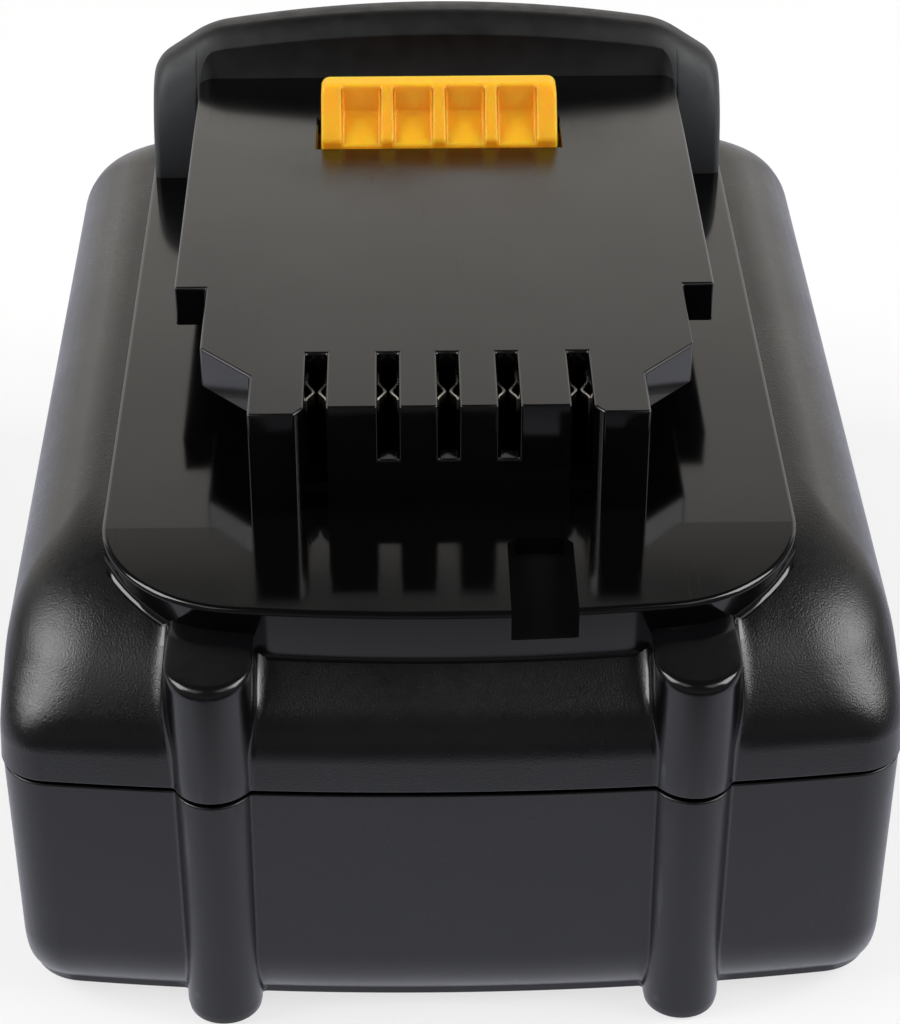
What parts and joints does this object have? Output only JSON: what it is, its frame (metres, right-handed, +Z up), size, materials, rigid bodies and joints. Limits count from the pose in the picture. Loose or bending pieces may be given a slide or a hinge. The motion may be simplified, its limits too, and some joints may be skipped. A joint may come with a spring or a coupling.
{
  "type": "power tool battery pack",
  "caption": "Slide-on battery pack for cordless tools: dark two-part case, T-rail tower with slotted terminals, sprung yellow release latch under a hood.",
  "frame": {"origin": "bottom of the pack, at the middle of its box", "axes": "+Z up, +Y towards the hood and release latch, +X to the right seen from the terminal end"},
  "size_m": [0.079, 0.1046, 0.0561],
  "materials": {
    "case": "dark grey moulded plastic, satin",
    "case_gloss": "dark grey moulded plastic, polished deck, spark-eroded shoulders",
    "latch": "yellow-orange moulded plastic, low gloss",
    "terminal": "tinned copper alloy spring strip",
    "cell": null,
    "nickel": "nickel strip",
    "spring_steel": "zinc plated steel",
    "inner_plastic": "black moulded plastic",
    "sheet": "insulating paper board",
    "foam": "closed-cell foam",
    "board": "glass-fibre board, green solder mask",
    "chips": "moulded component bodies",
    "copper": "bare copper strap",
    "lead": "insulated wire"
  },
  "bodies": {
    "case": {"lower_case": "case", "upper_case": "case_gloss", "latch_base": "inner_plastic", "latch_spring_left": "spring_steel", "latch_spring_right": "spring_steel", "case_screws": "spring_steel", "cell_holder_left": "inner_plastic", "cell_holder_right": "inner_plastic", "insulation_left": "sheet", "insulation_right": "sheet", "side_pad_left": "foam", "side_pad_right": "foam", "circuit_board": "board", "board_screws": "spring_steel", "board_chips": "chips", "terminal_block": "inner_plastic", "power_strap_left": "copper", "power_strap_right": "copper", "thermistor": "chips", "cell_1": "cell", "cell_2": "cell", "cell_3": "cell", "cell_4": "cell", "cell_5": "cell", "cell_6": "cell", "cell_7": "cell", "cell_8": "cell", "cell_9": "cell", "cell_10": "cell", "nickel_strip_left_1": "nickel", "nickel_strip_left_2": "nickel", "nickel_strip_left_3": "nickel", "nickel_strip_right_1": "nickel", "nickel_strip_right_2": "nickel", "nickel_strip_right_3": "nickel", "terminal_negative": "terminal", "terminal_thermistor": "terminal", "terminal_middle": "terminal", "terminal_data": "terminal", "terminal_positive": "terminal", "balance_lead_1": "lead", "balance_lead_2": "lead", "balance_lead_3": "lead", "balance_lead_4": "lead"},
    "latch": {"release_latch": "latch"}
  },
  "joints": [
    {"name": "latch_slide", "type": "slide", "parent": "case", "child": "latch", "axis": [0, 0, -1], "range_m": [0, 0.0049], "stiffness_N_per_m": 3500, "springref_m": -0.0025, "deforming": ["latch_spring_left", "latch_spring_right"]}
  ]
}
